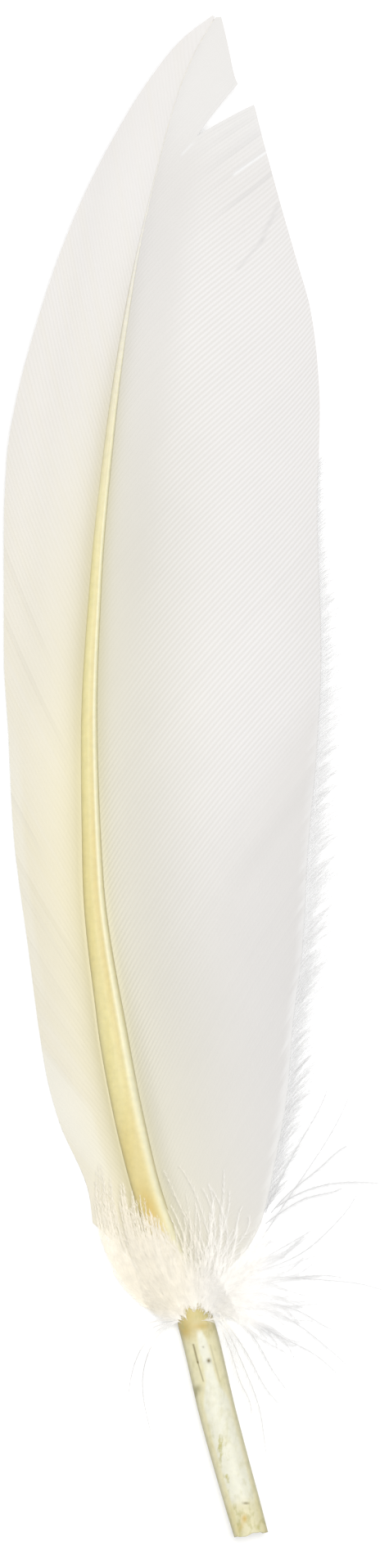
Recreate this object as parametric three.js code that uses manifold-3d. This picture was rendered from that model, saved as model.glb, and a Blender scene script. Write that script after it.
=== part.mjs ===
// A goose quill feather, lying on a table with its ventral (grooved) side up.
//
// Millimetres. +Y runs along the feather from the cut end of the quill to the tip, +X points
// to the wide inner vane, and +Z is up. z = 0 is the table. The origin is the middle of the
// feather's footprint on it.
import * as THREE from "three";
import { mergeVertices } from "three/addons/utils/BufferGeometryUtils.js";
import Module from "manifold-3d";

const wasm = await Module();
wasm.setup();

// Driving dimensions
const HALF_LENGTH = 139.35; // the whole feather is 278.7 long
const HALF_WIDTH = 34.875; // from the outer vane's edge to the tips of the inner down
const GAP = 0.3; // clearance between neighbouring pieces
const VANE_THICKNESS = 0.6;

// The dorsal side lies flat on the table between these stations, and both ends rise from it.
const FLAT_FROM = -75;
const FLAT_TO = 15;
const QUILL_LIFT = 3.2;
const TIP_LIFT = 9;

// The vanes lie flat beside the shaft and curl up towards their free edges.
const INNER_FLAT_WIDTH = 14;
const INNER_CURL = 4.5;
const OUTER_FLAT_WIDTH = 3;
const OUTER_CURL = 2.2;
const WIDEST_INNER = 42;
const WIDEST_OUTER = 15;

// Shaft: a hollow barrel (calamus) that runs on as the solid rachis
const BARREL_WALL = 0.6;
const BARREL_DEPTH = 42;
const SHAFT_SIDES = 16;
const SHAFT_RINGS = 44;
const BARREL_RINGS = 8;

// [station along Y, x of the shaft's centre line]
const CENTRE_LINE = [
  [-139.3, 10.5], [-117.2, 4.4], [-99.2, 0], [-90.2, -3.7], [-72.2, -9.7], [-45.2, -15.2],
  [-18.2, -18.6], [8.9, -19.3], [35.9, -18.1], [62.9, -15.5], [89.9, -11.5], [108.9, -7.4],
  [124.7, -3.1], [131.9, -0.2], [139.35, 4.1],
];
// [station along Y, width of the shaft across its axis]
const SHAFT_WIDTH = [
  [-139.3, 6.2], [-131, 6.5], [-113, 6.75], [-99, 6.1], [-77, 5.2], [-63, 5.4], [-50, 5.35],
  [-38, 4.7], [-23, 3.9], [-8, 3.3], [9, 2.6], [37, 1.8], [58, 1.5], [82, 1], [103, 0.6],
  [139.35, 0.4],
];
// [station along Y, x of the vane's free edge]
const INNER_EDGE = [
  [-91.6, 4.9], [-85.6, 10.3], [-81.2, 13], [-67.6, 15.8], [-58.6, 17.9], [-45.2, 18.8],
  [-31.6, 20.8], [-13.6, 21.7], [4.4, 22.9], [22.4, 23.2], [49.4, 22.6], [67.4, 22.9],
  [76.4, 22.4], [85.4, 21.2], [94.4, 18.7], [103.4, 16.1], [116.9, 12.4], [122.6, 11],
  [126.9, 7.6], [130.4, 6.5], [138.8, 4.9],
];
const OUTER_EDGE = [
  [-81.2, -18.7], [-76.6, -19.3], [-63.2, -24.8], [-54.2, -27.2], [-31.6, -30.4],
  [-9.2, -33.2], [8.8, -34.1], [22.4, -HALF_WIDTH], [44.8, -HALF_WIDTH], [58.4, -34.3],
  [67.4, -32.9], [85.4, -28.1], [103.4, -21.5], [121.4, -12.2], [130.4, -6.1], [134.8, -2.3],
  [139, 3.1],
];
// [station where a barb leaves the shaft, station where it meets the vane's free edge]
const INNER_BARBS = [
  [-95.5, -91.2], [-94.5, -81.2], [-92.5, -67], [-90, -50.5], [-82.6, -35.2], [-67.6, -15.8],
  [-37.6, 15.4], [-7.6, 41.8], [22.4, 69.3], [52.4, 88.8], [89.8, 110.6], [118.4, 131],
  [138.4, 138.8],
];
const OUTER_BARBS = [
  [-93.9, -81.2], [-88, -73], [-82.6, -65], [-67.6, -49.2], [-37.6, -14], [-7.6, 20.6],
  [22.4, 57.6], [52.4, 88.2], [82.4, 110.2], [103.4, 122], [127.4, 134.2], [138.4, 139],
];
// The notch near the tip, where the barbs of the inner vane have parted
const NOTCH_APEX = [-0.2, 117.3];
const NOTCH_UPPER_CORNER = [7.6, 126.9];
const NOTCH_LOWER_CORNER = [11, 122.6];

// Tufts of down: each fans out from a root on the shaft. reach is [direction in degrees, length].
const OUTER_TUFT = {
  root: [-4.6, -97.5],
  bottom: 0.6,
  rootThickness: 5,
  tipThickness: 1.2,
  reach: [[133, 20.8], [142, 15.4], [152, 9.6], [190, 7], [224, 9.8], [244, 17.4], [260, 23]],
};
const INNER_TUFT = {
  root: [3.9, -98.8],
  bottom: 0.6,
  rootThickness: 5,
  tipThickness: 1.2,
  reach: [[-68, 27.5], [-50, 20.5], [-21, 26], [0, 31.5], [12, 32], [39, 33.2], [57, 46]],
};
const AFTERFEATHER_TUFT = {
  root: [-0.9, -95.4],
  bottom: 6.6,
  rootThickness: 2.2,
  tipThickness: 0.8,
  reach: [[20, 14], [54, 17.5], [76, 22], [102, 27], [140, 20]],
};
const TUFT_ROOT_RADIUS = 0.5;

// A smooth curve through [position, value] pairs that never overshoots them
function smoothCurve(pairs) {
  const secants = pairs.slice(1).map(([t, v], i) => (v - pairs[i][1]) / (t - pairs[i][0]));
  const slopes = pairs.map((_, i) => {
    const before = secants[Math.max(i - 1, 0)];
    const after = secants[Math.min(i, secants.length - 1)];
    return before * after > 0 ? (2 * before * after) / (before + after) : 0;
  });
  return (t) => {
    const past = pairs.findIndex(([end]) => end > t);
    const i = past < 0 ? pairs.length - 2 : Math.max(past - 1, 0);
    const span = pairs[i + 1][0] - pairs[i][0];
    const f = THREE.MathUtils.clamp((t - pairs[i][0]) / span, 0, 1);
    const rise = pairs[i + 1][1] - pairs[i][1];
    const bend = (1 - f) * (slopes[i] * span - rise) + f * (rise - slopes[i + 1] * span);
    return pairs[i][1] + rise * f + f * (1 - f) * bend;
  };
}

const centreX = smoothCurve(CENTRE_LINE);
const shaftWidth = smoothCurve(SHAFT_WIDTH);

// The point beside the shaft's centre line, `aside` millimetres to its right
function besideShaft(y, aside) {
  const step = 0.5;
  const tangent = new THREE.Vector2(centreX(y + step) - centreX(y - step), 2 * step).normalize();
  return new THREE.Vector2(centreX(y) + aside * tangent.y, y - aside * tangent.x);
}

// Height of the dorsal side above the table
function lift(y) {
  const towardsTip = Math.max(0, (y - FLAT_TO) / (HALF_LENGTH - FLAT_TO));
  const towardsQuill = Math.max(0, (FLAT_FROM - y) / (HALF_LENGTH + FLAT_FROM));
  return TIP_LIFT * towardsTip ** 2 + QUILL_LIFT * towardsQuill ** 2;
}

// Moves every vertex of a geometry to where `place` puts it
function warp(geometry, place) {
  const position = geometry.attributes.position;
  const vertex = new THREE.Vector3();
  for (let i = 0; i < position.count; i += 1) {
    vertex.fromBufferAttribute(position, i);
    place(vertex);
    position.setXYZ(i, vertex.x, vertex.y, vertex.z);
  }
  geometry.computeVertexNormals();
  return geometry;
}

function even(from, to, count) {
  return Array.from({ length: count + 1 }, (_, i) => from + ((to - from) * i) / count);
}

// One tube from the cut end of the barrel to the tip, turned round the Y axis and then bent
// along the centre line. The profile starts at the bottom of the barrel's hollow.
function shaftGeometry() {
  const cutEnd = -HALF_LENGTH + 0.8; // the slanted cut reaches HALF_LENGTH at its lower corner
  const hollowEnd = cutEnd + BARREL_DEPTH;
  const inside = even(hollowEnd - 1, cutEnd, BARREL_RINGS).map(
    (y) => new THREE.Vector2(shaftWidth(y) / 2 - BARREL_WALL, y),
  );
  const outside = even(cutEnd, HALF_LENGTH, SHAFT_RINGS)
    .slice(0, -1)
    .map((y) => new THREE.Vector2(shaftWidth(y) / 2, y));
  const profile = [
    new THREE.Vector2(0, hollowEnd),
    ...inside,
    ...outside,
    new THREE.Vector2(0, HALF_LENGTH),
  ];
  const halfStep = Math.PI / SHAFT_SIDES;
  const geometry = new THREE.LatheGeometry(profile, SHAFT_SIDES, halfStep);
  return warp(geometry, (vertex) => {
    const centreHeight = lift(vertex.y) + shaftWidth(vertex.y) / 2;
    const height = centreHeight + vertex.z / Math.cos(halfStep);
    const place = besideShaft(vertex.y, vertex.x);
    vertex.set(place.x, place.y, height);
  });
}

// A thin sheet between the shaft and the vane's free edge. side is 1 for +X and -1 for -X.
function vaneGeometry({ side, barbs, edge, flatWidth, widest, curl, columns, rows }) {
  const edgeX = smoothCurve(edge);
  const barbEnd = smoothCurve(barbs);
  const firstRoot = barbs[0][0];
  const lastRoot = barbs[barbs.length - 1][0];
  const sheet = new THREE.BoxGeometry(1, 1, 1, columns, rows, 1);
  return warp(sheet, (vertex) => {
    const along = 0.5 + side * vertex.x;
    const rootY = THREE.MathUtils.lerp(firstRoot, lastRoot, vertex.y + 0.5);
    const root = besideShaft(rootY, side * (shaftWidth(rootY) / 2 + GAP));
    const end = new THREE.Vector2(edgeX(barbEnd(rootY)), barbEnd(rootY));
    const place = root.lerp(end, along);
    const fromShaft = side * (place.x - centreX(place.y)) - shaftWidth(place.y) / 2;
    const curled = Math.max(0, (fromShaft - flatWidth) / (widest - flatWidth));
    const bottom = lift(place.y) + curl * curled ** 2;
    vertex.set(place.x, place.y, vertex.z > 0 ? bottom + VANE_THICKNESS : bottom);
  });
}

function toSolid(geometry) {
  const positions = geometry.clone();
  positions.deleteAttribute("normal");
  positions.deleteAttribute("uv");
  const merged = mergeVertices(positions, 1e-4);
  const mesh = new wasm.Mesh({
    numProp: 3,
    vertProperties: new Float32Array(merged.attributes.position.array),
    triVerts: new Uint32Array(merged.index.array),
  });
  return new wasm.Manifold(mesh);
}

function toGeometry(solid) {
  const mesh = solid.getMesh();
  const geometry = new THREE.BufferGeometry();
  geometry.setAttribute("position", new THREE.BufferAttribute(mesh.vertProperties, 3));
  geometry.setIndex(new THREE.BufferAttribute(mesh.triVerts, 1));
  geometry.computeVertexNormals();
  return geometry;
}

// The wedge that is missing between the parted barbs, carried on past both corners
function notchGeometry() {
  const apex = new THREE.Vector2(...NOTCH_APEX);
  const upper = new THREE.Vector2(...NOTCH_UPPER_CORNER);
  const lower = new THREE.Vector2(...NOTCH_LOWER_CORNER);
  const reach = 1.5;
  const wedge = [apex, apex.clone().lerp(lower, reach), apex.clone().lerp(upper, reach)];
  const depth = 30;
  return new THREE.ExtrudeGeometry(new THREE.Shape(wedge), { depth, bevelEnabled: false });
}

// A fan-shaped pad of down that thins towards its tips
function tuftGeometry({ root, bottom, rootThickness, tipThickness, reach }) {
  const lengthAt = smoothCurve(reach);
  const from = reach[0][0];
  const to = reach[reach.length - 1][0];
  const columns = 4;
  const rows = 14;
  return warp(new THREE.BoxGeometry(1, 1, 1, columns, rows, 1), (vertex) => {
    const along = vertex.x + 0.5;
    const direction = THREE.MathUtils.lerp(from, to, vertex.y + 0.5);
    const angle = THREE.MathUtils.degToRad(direction);
    const radius = THREE.MathUtils.lerp(TUFT_ROOT_RADIUS, lengthAt(direction), along);
    const thickness = THREE.MathUtils.lerp(rootThickness, tipThickness, along);
    const x = Math.min(root[0] + radius * Math.cos(angle), HALF_WIDTH);
    const y = root[1] + radius * Math.sin(angle);
    vertex.set(x, y, vertex.z > 0 ? bottom + thickness : bottom);
  });
}

function innerVaneGeometry() {
  const sheet = vaneGeometry({
    side: 1,
    barbs: INNER_BARBS,
    edge: INNER_EDGE,
    flatWidth: INNER_FLAT_WIDTH,
    widest: WIDEST_INNER,
    curl: INNER_CURL,
    columns: 9,
    rows: 42,
  });
  return toGeometry(toSolid(sheet).subtract(toSolid(notchGeometry())));
}

function outerVaneGeometry() {
  return vaneGeometry({
    side: -1,
    barbs: OUTER_BARBS,
    edge: OUTER_EDGE,
    flatWidth: OUTER_FLAT_WIDTH,
    widest: WIDEST_OUTER,
    curl: OUTER_CURL,
    columns: 5,
    rows: 38,
  });
}

const horn = { color: 0xe9dca6, roughness: 0.35, metalness: 0 };
const white = { color: 0xf0ede4, roughness: 0.8, metalness: 0 };
const cream = { color: 0xfaf3e4, roughness: 0.95, metalness: 0 };

function piece(name, geometry, finish) {
  const mesh = new THREE.Mesh(geometry, new THREE.MeshStandardMaterial(finish));
  mesh.name = name;
  return mesh;
}

const feather = new THREE.Group();
feather.add(
  piece("shaft", shaftGeometry(), horn),
  piece("outer_vane", outerVaneGeometry(), white),
  piece("inner_vane", innerVaneGeometry(), white),
  piece("outer_down", tuftGeometry(OUTER_TUFT), cream),
  piece("inner_down", tuftGeometry(INNER_TUFT), cream),
  piece("afterfeather", tuftGeometry(AFTERFEATHER_TUFT), cream),
);

export default feather;
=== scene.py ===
"""A goose quill feather that lies with its ventral (grooved) side up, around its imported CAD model.

Lengths are in millimetres in the CAD's frame, except where a comment says metres: +Y runs to the
tip, +X to the wide inner vane, +Z up. A station is a place along Y.
"""

import math

import bpy
import numpy as np
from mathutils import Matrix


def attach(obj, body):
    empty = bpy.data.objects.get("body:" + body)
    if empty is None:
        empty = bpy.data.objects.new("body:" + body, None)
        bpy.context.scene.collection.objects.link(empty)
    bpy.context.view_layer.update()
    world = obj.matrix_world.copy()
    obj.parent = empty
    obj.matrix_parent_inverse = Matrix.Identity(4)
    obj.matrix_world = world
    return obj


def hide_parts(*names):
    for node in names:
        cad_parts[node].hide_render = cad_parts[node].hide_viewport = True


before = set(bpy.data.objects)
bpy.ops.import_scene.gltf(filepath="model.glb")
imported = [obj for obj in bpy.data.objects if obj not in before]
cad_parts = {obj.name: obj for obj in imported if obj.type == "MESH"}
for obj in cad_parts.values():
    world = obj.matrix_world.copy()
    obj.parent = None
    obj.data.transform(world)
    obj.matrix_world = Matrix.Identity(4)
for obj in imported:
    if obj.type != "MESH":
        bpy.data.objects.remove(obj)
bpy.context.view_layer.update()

MM = 0.001  # Blender's metres
rng = np.random.default_rng(7)

# ---------------------------------------------------------------- driving dimensions
TIP = 139.35
CUT_END = -138.6
FLAT_FROM, FLAT_TO = -75.0, 15.0
QUILL_LIFT, TIP_LIFT = 3.2, 9.0
BARREL_WALL = 0.6
HOLLOW_END = -96.6

# (station, x of the shaft's centre line)
CENTRE_LINE = [
    (-139.3, 10.5), (-117.2, 4.4), (-99.2, 0), (-90.2, -3.7), (-72.2, -9.7), (-45.2, -15.2),
    (-18.2, -18.6), (8.9, -19.3), (35.9, -18.1), (62.9, -15.5), (89.9, -11.5), (108.9, -7.4),
    (124.7, -3.1), (131.9, -0.2), (139.35, 4.1),
]
# (station, width of the shaft across its axis)
SHAFT_WIDTH = [
    (-139.3, 6.2), (-131, 6.5), (-113, 6.75), (-101, 6.7), (-96, 6.1), (-77, 5.2), (-63, 5.4),
    (-50, 5.35), (-38, 4.7), (-23, 4.0), (-8, 3.45), (9, 3.05), (22, 2.7), (37, 2.3), (58, 1.9),
    (82, 1.2), (103, 0.6), (139.35, 0.3),
]
# (station, x of the vane's free edge)
INNER_EDGE = [
    (-91.6, 4.9), (-85.6, 10.3), (-81.2, 12.4), (-67.6, 15.4), (-58.6, 17), (-45.2, 18.1),
    (-31.6, 19.8), (-13.6, 20.8), (4.4, 22.4), (22.4, 23.2), (49.4, 22.5), (67.4, 22.9),
    (76.4, 22.4), (85.4, 21.2), (94.4, 18.7), (103.4, 16.1), (116.9, 12.3), (120.5, 11.2),
    (122.7, 10.35), (124.85, 9.35), (127, 8.25), (129, 7.45), (131, 6.85), (138.8, 4.9),
]
OUTER_EDGE = [
    (-81.2, -18.7), (-76.6, -19.3), (-63.2, -24.8), (-54.2, -27.2), (-31.6, -30.4),
    (-9.2, -33.2), (8.8, -34.1), (22.4, -34.87), (44.8, -34.87), (58.4, -34.3),
    (67.4, -32.9), (85.4, -28.1), (103.4, -21.5), (121.4, -12.2), (130.4, -6.1),
    (134.8, -2.3), (139, 3.1),
]
# A barb is a curve from the shaft to the vane's edge. Each row is (station where it leaves the
# shaft, station where it meets the edge, its direction in degrees at the shaft, and at the edge).
INNER_BARBS = [
    (-95.5, -91.2, 74, 66), (-92.5, -72, 72, 64), (-90, -52, 71, 62), (-82.6, -35, 69, 58),
    (-67.6, -15, 67, 55), (-37.6, 15.5, 64, 51), (-7.6, 43.5, 61, 52), (22.4, 69, 60, 53),
    (52.4, 89.5, 58, 52), (75, 103, 57, 46), (89.8, 112.3, 54, 40), (100, 119.2, 53, 38),
    (108.5, 124.75, 53, 38),
]
TIP_BARBS = [
    (108.8, 124.95, 53, 38), (118.4, 130.6, 54, 48), (131.8, 136.6, 50, 44), (138.4, 138.8, 55, 44),
]
TIP_SPACING = 1.05
# The notch: the station where it starts at the shaft, its apex along the barbs, its width at the
# edge, and how much of the shaft's length takes part in it
NOTCH = (108.65, 0.4, 5.5, 5.0)
OUTER_BARBS = [
    (-93.9, -81.2, 139, 139), (-88, -73, 136, 134), (-82.6, -65, 133, 128),
    (-67.6, -49.2, 130, 125), (-37.6, -14, 124, 119), (-7.6, 20.6, 120, 114.5),
    (22.4, 57.6, 116.5, 108), (52.4, 88.2, 112, 102), (82.4, 110.2, 105, 99),
    (103.4, 122, 101, 98), (127.4, 134.2, 98, 97), (138.4, 139, 96, 96),
]
INNER_SAMPLES, OUTER_SAMPLES = 34, 26  # points along each barb
# The curl of a vane: how wide its flat part is, the width where the curl is full, and its rise there
INNER_CURL = (14, 42, 4.5)
OUTER_CURL = (3, 15, 2.2)
VANE_BASE = 0.3  # height of a vane above the dorsal side of the feather


# ---------------------------------------------------------------- curves and surfaces
def smooth_curve(pairs):
    """A smooth function through (position, value) pairs that never overshoots them."""
    places, values = np.array(pairs, float).T
    secants = np.diff(values) / np.diff(places)
    before = np.r_[secants[0], secants]
    after = np.r_[secants, secants[-1]]
    together = before * after > 0
    total = np.where(together, before + after, 1)
    slopes = np.where(together, 2 * before * after / total, 0)

    def value_at(position):
        position = np.asarray(position, float)
        i = np.clip(np.searchsorted(places, position, side="right") - 1, 0, len(places) - 2)
        span = places[i + 1] - places[i]
        f = np.clip((position - places[i]) / span, 0, 1)
        rise = values[i + 1] - values[i]
        bend = (1 - f) * (slopes[i] * span - rise) + f * (rise - slopes[i + 1] * span)
        return values[i] + rise * f + f * (1 - f) * bend

    return value_at


centre_x = smooth_curve(CENTRE_LINE)
shaft_width = smooth_curve(SHAFT_WIDTH)
inner_edge_x = smooth_curve(INNER_EDGE)
outer_edge_x = smooth_curve(OUTER_EDGE)


def beside_shaft(station, aside):
    """The plan position `aside` millimetres to the right of the shaft's centre line."""
    slope = centre_x(station + 0.5) - centre_x(station - 0.5)
    length = np.hypot(slope, 1)
    return np.stack([centre_x(station) + aside / length, station - aside * slope / length], -1)


def past_shaft(x, y, side):
    """How far a point lies outside the shaft, on its right side (1) or its left side (-1)."""
    return side * (x - centre_x(y)) - shaft_width(y) / 2


def lift(y):
    """Height of the feather's dorsal side above the floor: flat in the middle, raised at both ends."""
    towards_tip = np.maximum(0, (y - FLAT_TO) / (TIP - FLAT_TO))
    towards_quill = np.maximum(0, (FLAT_FROM - y) / (TIP + FLAT_FROM))
    return TIP_LIFT * towards_tip**2 + QUILL_LIFT * towards_quill**2


def smooth_step(low, high, value):
    """0 before low and 1 after high. It falls instead where low is above high."""
    f = np.clip((value - low) / (high - low), 0, 1)
    return f * f * (3 - 2 * f)


def bell(value, place, width):
    """1 where the value is at the place, fading out on both sides of it."""
    return np.exp(-(((value - place) / width) ** 2))


def fading(distance, reach):
    """1 up to a distance of 0, then fading out."""
    return np.exp(-np.maximum(distance, 0) / reach)


def direction(degrees):
    radians = np.radians(degrees)
    return np.stack([np.cos(radians), np.sin(radians)], -1)


def normalised(vectors):
    length = np.linalg.norm(vectors, axis=-1, keepdims=True)
    return vectors / np.maximum(length, 1e-9)


def left_of(curves):
    """Directions across plan curves, to their left."""
    along = normalised(np.gradient(curves, axis=1))
    return np.stack([-along[..., 1], along[..., 0]], -1)


# (root station, millimetres of the shaft from one barb to the next)
INNER_SPACING = [
    (-95.5, 0.2), (-91, 0.3), (-85, 0.7), (-78, 0.95), (-50, 1.12), (-28, 1.22), (0, 1.29),
    (60, 1.3), (80, 1.26), (97, 1.1), (108.5, 1.05),
]
OUTER_SPACING = [(-94, 0.9), (-85, 1.3), (-60, 1.4), (139, 1.4)]
# Where neighbouring barbs have come apart: (station where they leave the shaft, place along them
# where they part, gap at the vane's edge, how far the upper ones ride over the lower ones, and
# how much of the shaft's length takes part in it)
INNER_SPLITS = [
    (-51.4, 0.5, 0.0, 0.06, 9), (-12, 0.8, 0.0, 0.1, 4), (31, 0.75, 0.0, 0.1, 4),
    (78.9, 0.6, 0.0, 0.2, 3), (84.2, 0.8, 0.0, 0.2, 3), (92.9, 0.6, 0.05, 0.2, 3),
    (98.1, 0.7, 0.0, 0.15, 2), (103.2, 0.65, 0.0, 0.15, 2),
]
OUTER_SPLITS = [
    (9, 0.3, 0.0, 0.16, 3), (-0.7, 0.12, 0.0, 0.2, 3), (-28.4, 0.5, 0.0, 0.12, 4),
    (-38.6, 0.05, 0.0, 0.14, 3), (-43, 0.05, 0.0, 0.14, 3), (-50.4, 0.15, 0.0, 0.12, 3),
    (-57.2, 0.2, 0.0, 0.12, 3), (-67.3, 0.3, 0.0, -0.3, 2),
]


# ---------------------------------------------------------------- meshes
TUBE_SIDES = 3  # a filament of down has this many sides


def make_piece(name, points, faces, material, node, uv, values, creased=None):
    """Makes one mesh object that rides on the feather. faces is a list of index arrays, values
    are numbers for the material at each point, and an edge is sharp where both of its points are
    creased. The piece replaces a node of the CAD model, unless node is None."""
    mesh = bpy.data.meshes.new(name)
    counts = np.concatenate([np.full(len(f), f.shape[1]) for f in faces])
    loops = np.concatenate([f.ravel() for f in faces])
    mesh.vertices.add(len(points))
    mesh.vertices.foreach_set("co", (points * MM).astype(np.float32).ravel())
    mesh.loops.add(len(loops))
    mesh.loops.foreach_set("vertex_index", loops.astype(np.int32))
    mesh.polygons.add(len(counts))
    starts = np.r_[0, np.cumsum(counts)[:-1]]
    mesh.polygons.foreach_set("loop_start", starts.astype(np.int32))
    mesh.polygons.foreach_set("use_smooth", np.ones(len(counts), bool))
    mesh.update(calc_edges=True)
    for key, value in values.items():
        column = mesh.attributes.new(key, "FLOAT", "POINT")
        column.data.foreach_set("value", value.astype(np.float32).ravel())
    layer = mesh.uv_layers.new(name="OFBake")
    layer.data.foreach_set("uv", uv[loops].astype(np.float32).ravel())
    if creased is not None:
        ends = np.empty(len(mesh.edges) * 2, np.int32)
        mesh.edges.foreach_get("vertices", ends)
        sharp = creased[ends].reshape(-1, 2).all(1)
        mesh.attributes.new("sharp_edge", "BOOLEAN", "EDGE").data.foreach_set("value", sharp)
    mesh.materials.append(material)
    piece = bpy.data.objects.new(name, mesh)
    bpy.context.scene.collection.objects.link(piece)
    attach(piece, "root")
    if node:
        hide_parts(node)


def tube_faces(tubes, rings, sides):
    """Quads and end caps of `tubes` separate tubes, each with `rings` rings of `sides` points."""
    index = np.arange(tubes * rings * sides).reshape(tubes, rings, sides)
    ahead = np.roll(index, -1, axis=2)
    quads = np.stack([index[:, :-1], ahead[:, :-1], ahead[:, 1:], index[:, 1:]], -1)
    return [quads.reshape(-1, 4), index[:, 0, ::-1], index[:, -1]]


def thin_tubes(lines, radii):
    """Rings of points around polylines, with a flat side up. lines is (tubes, rings, 3), and
    radii is (tubes, rings)."""
    along = normalised(np.gradient(lines, axis=1))
    up = np.broadcast_to([0.0, 0.0, 1.0], along.shape)
    right = normalised(np.cross(along, up))
    over = np.cross(right, along)
    angles = np.arange(TUBE_SIDES) * 2 * math.pi / TUBE_SIDES - math.pi / 2
    spread = (
        right[..., None, :] * np.cos(angles)[:, None] + over[..., None, :] * np.sin(angles)[:, None]
    )
    return lines[..., None, :] + spread * radii[..., None, None]


def blades(bases, tips, radius):
    """Thin flat blades, each from a base as wide as twice the radius to a pointed tip. They bend."""
    lean = normalised(rng.normal(0, 0.14, bases.shape) + [0.0, 0.0, 1.0])
    across = normalised(np.cross(lean, tips - bases))
    aside = across * radius
    length = np.linalg.norm(tips - bases, axis=1, keepdims=True)
    bend = across * length * rng.normal(0, 0.12, length.shape)
    middle = (bases + tips) / 2 + bend
    corners = [bases - aside, middle - 0.8 * aside, tips, middle + 0.8 * aside, bases + aside]
    points = np.stack(corners, 1).reshape(-1, 3)
    first = np.arange(0, len(points), 5)[:, None]
    return points, [first + [0, 1, 3, 4], first + [1, 2, 3]]


# ---------------------------------------------------------------- materials
LIGHT_LEVEL = 1.3  # how much brighter than its own colour a flat surface shows under the lights


def seen(red, green, blue):
    """The colour that shows on screen, under the studio lights, as this one from 0 to 255."""
    values = np.array([red, green, blue]) / 255
    curve = np.where(values <= 0.04045, values / 12.92, ((values + 0.055) / 1.055) ** 2.4)
    return (*(curve / LIGHT_LEVEL).tolist(), 1.0)


def new_material(name, roughness, specular):
    material = bpy.data.materials.new(name)
    material.use_nodes = True
    tree = material.node_tree
    shader = tree.nodes["Principled BSDF"]
    shader.inputs["Roughness"].default_value = roughness
    shader.inputs["Specular IOR Level"].default_value = specular
    return material, tree, shader


def add_node(tree, kind, inputs=None, **settings):
    """Adds a node. Each input is a constant, or the socket that feeds it."""
    node = tree.nodes.new(kind)
    for key, value in settings.items():
        setattr(node, key, value)
    for key, value in (inputs or {}).items():
        if isinstance(value, bpy.types.NodeSocket):
            tree.links.new(value, node.inputs[key])
        else:
            node.inputs[key].default_value = value
    return node


def attribute(tree, name):
    return add_node(tree, "ShaderNodeAttribute", attribute_name=name).outputs["Fac"]


def mix_colour(tree, amount, first, second, blend="MIX"):
    inputs = {0: amount, 6: first, 7: second}
    return add_node(tree, "ShaderNodeMix", inputs, data_type="RGBA", blend_type=blend).outputs[2]


def object_noise(tree, scale, detail=3.0, stretch=(1, 1, 1)):
    """Noise in the object's own coordinates. scale counts features per metre."""
    place = add_node(tree, "ShaderNodeTexCoord").outputs["Object"]
    mapping = add_node(tree, "ShaderNodeMapping", {"Vector": place, "Scale": stretch})
    inputs = {"Vector": mapping.outputs[0], "Scale": scale, "Detail": detail}
    return add_node(tree, "ShaderNodeTexNoise", inputs).outputs["Fac"]


def between(tree, value, low, high, start=0.0, end=1.0):
    """Moves a value from the range start to end to the range low to high."""
    inputs = {"Value": value, "From Min": start, "From Max": end, "To Min": low, "To Max": high}
    return add_node(tree, "ShaderNodeMapRange", inputs).outputs["Result"]


def bumped(tree, shader, height, distance, strength):
    inputs = {"Height": height, "Distance": distance * MM, "Strength": strength}
    bump = add_node(tree, "ShaderNodeBump", inputs)
    tree.links.new(bump.outputs[0], shader.inputs["Normal"])


def vane_material(name, web, rib, painted_glow, dim, pale):
    """Barbs: lighter ribs on a slightly darker web, and the shaft's yellow light painted beside it."""
    material, tree, shader = new_material(name, 0.55, 0.3)
    # ribs lighter than the web: painted light and shade in place of the shading of their relief
    ribbed = mix_colour(tree, attribute(tree, "rib"), web, rib)
    dimmed = mix_colour(tree, attribute(tree, "dim"), ribbed, dim)
    lit = mix_colour(tree, attribute(tree, "pale"), dimmed, pale)
    glowing = mix_colour(tree, attribute(tree, "painted_glow"), lit, painted_glow)
    # painted shade and light, multiplied into the colour
    shaded = mix_colour(tree, 1.0, glowing, attribute(tree, "shade"), "MULTIPLY")
    mottle = between(tree, object_noise(tree, 120), 0.993, 1.007, 0.3, 0.7)
    toned = mix_colour(tree, 1.0, shaded, mottle, "MULTIPLY")
    tree.links.new(toned, shader.inputs["Base Color"])
    bumped(tree, shader, object_noise(tree, 2600, 2.0, (1, 0.35, 1)), 0.1, 0.1)
    shader.inputs["Sheen Weight"].default_value = 0.1
    shader.inputs["Sheen Roughness"].default_value = 0.4
    return material


def down_material(name, opacity):
    """Fibres finer than their meshes, so each blade covers only a part of what is behind it."""
    material, tree, shader = new_material(name, 0.8, 0.15)
    shader.inputs["Alpha"].default_value = opacity
    thin = mix_colour(tree, attribute(tree, "warmth"), (0.64, 0.638, 0.638, 1), (0.7, 0.67, 0.61, 1))
    # dense tufts get a lighter white: painted light against the shade that they cast on themselves.
    # Sparse fibres get a grey one
    thick = mix_colour(tree, attribute(tree, "warmth"), (0.99, 0.98, 0.967, 1), (0.93, 0.88, 0.76, 1))
    base = mix_colour(tree, attribute(tree, "dense"), thin, thick)
    streaks = between(tree, object_noise(tree, 700), 0.96, 1.04, 0.3, 0.7)
    white = mix_colour(tree, 1.0, base, streaks, "MULTIPLY")
    tree.links.new(white, shader.inputs["Base Color"])
    return material


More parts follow.
